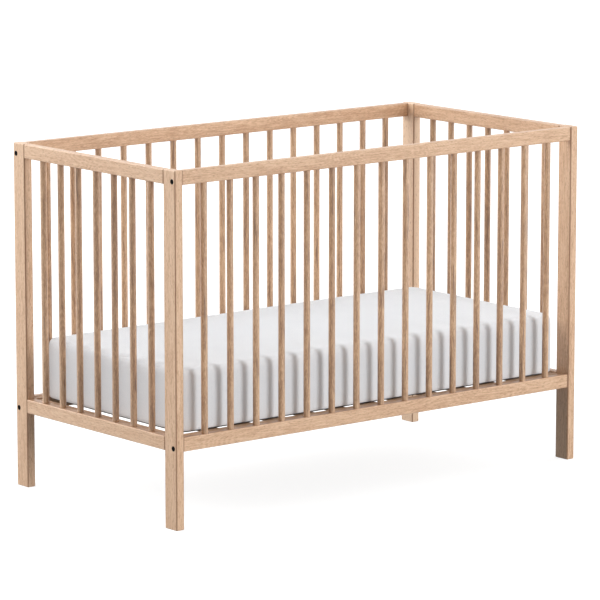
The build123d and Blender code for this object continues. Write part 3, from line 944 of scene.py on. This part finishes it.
@dataclass
class Mattress:
    """The mattress: a foam block in a light cotton cover, crowned on top, with softly rounded edges."""

    cover: CottonCover = CottonCover()
    node: str = "mattress_cover"
    core: str = "mattress_core"
    slot: str = "mattress_cloth"
    cell: float = 0.010
    spanning: float = 0.9
    corner_round: float = 0.030
    edge_round: float = 0.017
    sole_round: float = 0.008
    # how high the dark painted shade of the underside reaches
    sole_shade_height: float = 0.004
    crown: float = 0.004
    crown_reach: float = 0.20
    side_pull: float = 0.0008
    ripple: float = 0.0010
    ripple_scale: float = 7.0
    held_height: float = 0.03
    pressure: float = 0.05
    frames: int = 10
    steps: int = 5
    most_move: float = 0.004
    fill: float = 0.85
    smoothing: int = 1

    def block(self, low: Vector, high: Vector) -> bmesh.types.BMesh:
        """A closed box divided into cells of about equal size.

        Args:
            low: the mattress's lowest corner.
            high: its highest corner.

        Returns:
            The divided box.
        """
        mesh = bmesh.new()
        bmesh.ops.create_cube(mesh, size=1.0)
        size = high - low
        bmesh.ops.transform(mesh, matrix=Matrix.LocRotScale((low + high) / 2, None, size), verts=mesh.verts)
        for axis in range(3):
            edges = [
                edge
                for edge in mesh.edges
                if abs((edge.verts[0].co - edge.verts[1].co)[axis]) > size[axis] * self.spanning
            ]
            cuts = max(1, round(size[axis] / self.cell) - 1)
            bmesh.ops.subdivide_edges(mesh, edges=edges, cuts=cuts, use_grid_fill=True)
        return mesh

    def round_corner(self, flat: Vector, half: Vector) -> tuple[Vector, Vector]:
        """Rounds the mattress's four corners, seen from above.

        Args:
            flat: a point of the plain box, from its middle, seen from above.
            half: half of the box's size.

        Returns:
            The point on the rounded form, and the way out of the mattress there.
        """
        inner = Vector(
            (
                max(-half.x + self.corner_round, min(half.x - self.corner_round, flat.x)),
                max(-half.y + self.corner_round, min(half.y - self.corner_round, flat.y)),
            )
        )
        outward = flat - inner
        if outward.length > NEAR_ZERO:
            reach = max(abs(outward.x), abs(outward.y))
            outward.normalize()
            return inner + outward * reach, outward
        if half.x - abs(flat.x) < half.y - abs(flat.y):
            return flat, Vector((math.copysign(1.0, flat.x), 0.0))
        return flat, Vector((0.0, math.copysign(1.0, flat.y)))

    @staticmethod
    def round_edge(inset: float, depth: float, radius: float) -> tuple[float, float]:
        """Rounds the edge between a side and the top or the underside.

        Args:
            inset: how far a point of the plain box is from its nearest side.
            depth: how far it is from the top or the underside.
            radius: the edge's rounding.

        Returns:
            The inset and the depth on the rounded form.
        """
        if inset >= radius or depth >= radius:
            return inset, depth
        side = radius - inset
        rise = radius - depth
        reach = max(side, rise)
        length = math.hypot(side, rise)
        return radius - side / length * reach, radius - rise / length * reach

    def shaped(self, spot: Vector, low: Vector, high: Vector) -> Vector:
        """Where a point of the plain box goes on the finished mattress.

        Args:
            spot: the point on the box.
            low: the box's lowest corner.
            high: the box's highest corner.

        Returns:
            The point on the rounded, crowned form.
        """
        middle = (low + high) / 2
        half = (high - low) / 2
        flat = Vector((spot.x - middle.x, spot.y - middle.y))
        inset = max(0.0, min(half.x - abs(flat.x), half.y - abs(flat.y)))
        flat, outward = self.round_corner(flat, half)
        from_top = high.z - spot.z
        from_bottom = spot.z - low.z
        upper = from_top < from_bottom
        radius = self.edge_round if upper else self.sole_round
        new_inset, depth = self.round_edge(inset, min(from_top, from_bottom), radius)
        flat -= outward * (new_inset - inset)
        level = high.z - depth if upper else low.z + depth
        height = (level - low.z) / (high.z - low.z)
        if upper:
            rise = smooth_step(new_inset / self.crown_reach)
            level += self.crown * rise * smooth_step(2 * height - 1)
        along = flat.x / half.x if abs(outward.y) > abs(outward.x) else flat.y / half.y
        near_side = 1.0 - smooth_step(new_inset / (2 * self.edge_round))
        flat -= outward * self.side_pull * max(0.0, 1 - along * along) * height * near_side
        return Vector((middle.x + flat.x, middle.y + flat.y, level))

    def puff(self, piece: bpy.types.Object) -> None:
        """Lets the foam press the cover outwards in a short cloth simulation, and keeps the result.

        The underside is held, because it lies flat on the slats.

        Args:
            piece: the mattress, whose mesh is moved.
        """
        scene = bpy.context.scene
        low = min(vertex.co.z for vertex in piece.data.vertices)
        held = piece.vertex_groups.new(name="held")
        for vertex in piece.data.vertices:
            share = 1.0 - smooth_step((vertex.co.z - low) / self.held_height)
            held.add([vertex.index], share, "REPLACE")
        cloth = piece.modifiers.new("puff", "CLOTH")
        cloth.settings.quality = self.steps
        cloth.settings.use_pressure = True
        cloth.settings.uniform_pressure_force = self.pressure
        cloth.settings.vertex_group_mass = held.name
        cloth.settings.effector_weights.gravity = 0.0
        cloth.collision_settings.use_collision = False
        cloth.point_cache.frame_start = 1
        cloth.point_cache.frame_end = self.frames
        for frame in range(1, self.frames + 1):
            scene.frame_set(frame)
        pressed = piece.evaluated_get(bpy.context.evaluated_depsgraph_get()).data
        spots = [vertex.co.copy() for vertex in pressed.vertices]
        piece.modifiers.remove(cloth)
        longest = 0.0
        for vertex, spot in zip(piece.data.vertices, spots):
            step = spot - vertex.co
            longest = max(longest, step.length)
            if step.length > self.most_move:
                step *= self.most_move / step.length
            vertex.co += step
        scene.frame_set(1)
        log.info("the foam pressed the cover out by up to %.4f m", longest)

    def build(self) -> bpy.types.Object:
        """Builds the mattress over its solid and dresses it.

        Returns:
            The mattress object.
        """
        low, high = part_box(self.node)
        mesh = self.block(low, high)
        for vertex in mesh.verts:
            spot = self.shaped(vertex.co.copy(), low, high)
            share = smooth_step((spot.z - low.z) / (high.z - low.z))
            wave = noise.noise(spot * self.ripple_scale) * self.ripple * share
            spot.z += min(wave, 0.0)
            vertex.co = spot
        bmesh.ops.recalc_face_normals(mesh, faces=mesh.faces)
        data = bpy.data.meshes.new("mattress")
        mesh.to_mesh(data)
        mesh.free()
        piece = bpy.data.objects.new("mattress", data)
        bpy.context.scene.collection.objects.link(piece)
        self.puff(piece)
        for polygon in data.polygons:
            polygon.use_smooth = True
        smooth = piece.modifiers.new("smooth", "SUBSURF")
        smooth.levels = self.smoothing
        smooth.render_levels = self.smoothing
        # The cover's dark grey underside is painted shade.
        dress(piece, self.cover.material(low.z + self.sole_shade_height))
        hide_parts(self.node, self.core)
        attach(piece, MATTRESS_BODY)
        return piece


# ---------------------------------------------------------------- studio
@dataclass
class Softbox:
    """A large soft white lamp that looks at the middle of the crib.

    Its bearing is 0 straight in front of the crib and grows towards the right end.
    """

    name: str
    bearing: float
    elevation: float
    distance: float
    width: float
    power: float

    def build(self, aim: Vector) -> None:
        """Hangs the lamp.

        Args:
            aim: the point that it looks at.
        """
        around, up = math.radians(self.bearing), math.radians(self.elevation)
        back = Vector((math.sin(around) * math.cos(up), -math.cos(around) * math.cos(up), math.sin(up)))
        data = bpy.data.lights.new(self.name, "AREA")
        data.shape = "SQUARE"
        data.size = self.width
        data.energy = self.power
        lamp = bpy.data.objects.new(self.name, data)
        lamp.location = aim + back * self.distance
        lamp.rotation_mode = "QUATERNION"
        lamp.rotation_quaternion = back.to_track_quat("Z", "Y")
        bpy.context.scene.collection.objects.link(lamp)
        log.info("hung lamp %s", self.name)


@dataclass
class Studio:
    """A white floor, a soft white surround, large soft lamps and the camera."""

    floor_half: float = 30.0
    floor_cells: int = 8
    floor_colour: Colour = (0.4, 0.4, 0.4)
    floor_bounce: Colour = (0.2, 0.2, 0.2)
    floor_glow: float = 0.81
    far_glow: float = 1.0
    glow_reach: tuple[float, float] = (1.6, 4.5)
    sky_strength: float = 0.43
    sky_band: tuple[float, float] = (0.45, 0.75)
    horizon_strength: float = 0.21
    lamps: tuple[Softbox, ...] = (
        Softbox("key_softbox", bearing=9.0, elevation=12.0, distance=12.0, width=4.0, power=722.0),
        Softbox("left_softbox", bearing=-125.0, elevation=30.0, distance=6.0, width=5.0, power=318.0),
        Softbox("front_softbox", bearing=40.0, elevation=12.0, distance=6.0, width=4.0, power=74.0),
        Softbox("right_softbox", bearing=90.0, elevation=25.0, distance=6.0, width=5.0, power=185.0),
        Softbox("back_softbox", bearing=180.0, elevation=25.0, distance=6.0, width=5.0, power=123.0),
    )
    camera_place: tuple[float, float, float] = (-6.0347, -7.4098, 2.1133)
    camera_yaw: float = 39.163
    camera_pitch: float = 9.977
    camera_lens: float = 236.08
    camera_reach: float = 200.0
    sensor_width: float = 36.0

    def build_floor(self) -> None:
        """Lays the floor, which shows white to the camera and keeps a faint shadow of the crib.

        Its own glow is a little weaker near the crib, and it sends less light than it shows.
        """
        mesh = bmesh.new()
        cells = self.floor_cells
        bmesh.ops.create_grid(mesh, x_segments=cells, y_segments=cells, size=self.floor_half)
        data = bpy.data.meshes.new("floor")
        mesh.to_mesh(data)
        mesh.free()
        floor = bpy.data.objects.new("floor", data)
        bpy.context.scene.collection.objects.link(floor)
        bench = NodeBench("floor_white")
        bounce = bench.add("ShaderNodeBsdfDiffuse", {"Color": opaque(self.floor_bounce)})
        lit = bench.add("ShaderNodeBsdfDiffuse", {"Color": opaque(self.floor_colour)})
        away = bench.add("ShaderNodeVectorMath", {0: bench.place()}, operation="LENGTH").outputs["Value"]
        strength = bench.span(away, *self.glow_reach, self.floor_glow, self.far_glow)
        glow = bench.add("ShaderNodeEmission", {"Color": WHITE, "Strength": strength})
        both = bench.add("ShaderNodeAddShader", {0: lit.outputs[0], 1: glow.outputs[0]})
        inputs = {0: bench.seen(), 1: bounce.outputs[0], 2: both.outputs[0]}
        shader = bench.add("ShaderNodeMixShader", inputs)
        floor.data.materials.append(bench.finish(shader))
        floor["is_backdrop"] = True

    def build_world(self) -> None:
        """Surrounds the crib with soft light from above that fades towards the horizon."""
        bench = NodeBench("surround", world=True)
        upward = bench.parts(bench.add("ShaderNodeTexCoord").outputs["Generated"])["Z"]
        strength = bench.span(upward, *self.sky_band, self.horizon_strength, self.sky_strength)
        soft = bench.add("ShaderNodeBackground", {"Color": WHITE, "Strength": strength})
        white = bench.add("ShaderNodeBackground", {"Color": WHITE})
        inputs = {0: bench.seen(), 1: soft.outputs[0], 2: white.outputs[0]}
        shader = bench.add("ShaderNodeMixShader", inputs)
        bpy.context.scene.world = bench.finish(shader)

    def build_camera(self) -> None:
        """Places the camera to the front left of the crib, a little above it."""
        data = bpy.data.cameras.new("camera")
        data.lens = self.camera_lens
        data.sensor_width = self.sensor_width
        data.clip_end = self.camera_reach
        camera = bpy.data.objects.new("camera", data)
        yaw, pitch = math.radians(self.camera_yaw), math.radians(self.camera_pitch)
        look = Vector((math.sin(yaw) * math.cos(pitch), math.cos(yaw) * math.cos(pitch), -math.sin(pitch)))
        camera.location = self.camera_place
        camera.rotation_mode = "QUATERNION"
        camera.rotation_quaternion = look.to_track_quat("-Z", "Y")
        bpy.context.scene.collection.objects.link(camera)
        bpy.context.scene.camera = camera

    def build(self) -> None:
        """Builds the camera, the floor, the surround and the lamps."""
        self.build_camera()
        self.build_floor()
        self.build_world()
        low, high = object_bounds()
        for lamp in self.lamps:
            lamp.build((low + high) / 2)
        bpy.context.scene.view_settings.view_transform = "Standard"


def main() -> None:
    """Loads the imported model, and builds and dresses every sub-assembly."""
    logging.basicConfig(level=logging.INFO, format="%(name)s: %(message)s")
    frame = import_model()
    nodes: Nodes = frame["nodes"]
    Studio().build()
    Posts(nodes).dress()
    Rails(nodes).dress()
    Bars(nodes).dress()
    SlattedBase(nodes).dress()
    Fasteners(nodes).dress()
    Mattress().build()


if __name__ == "__main__":
    main()
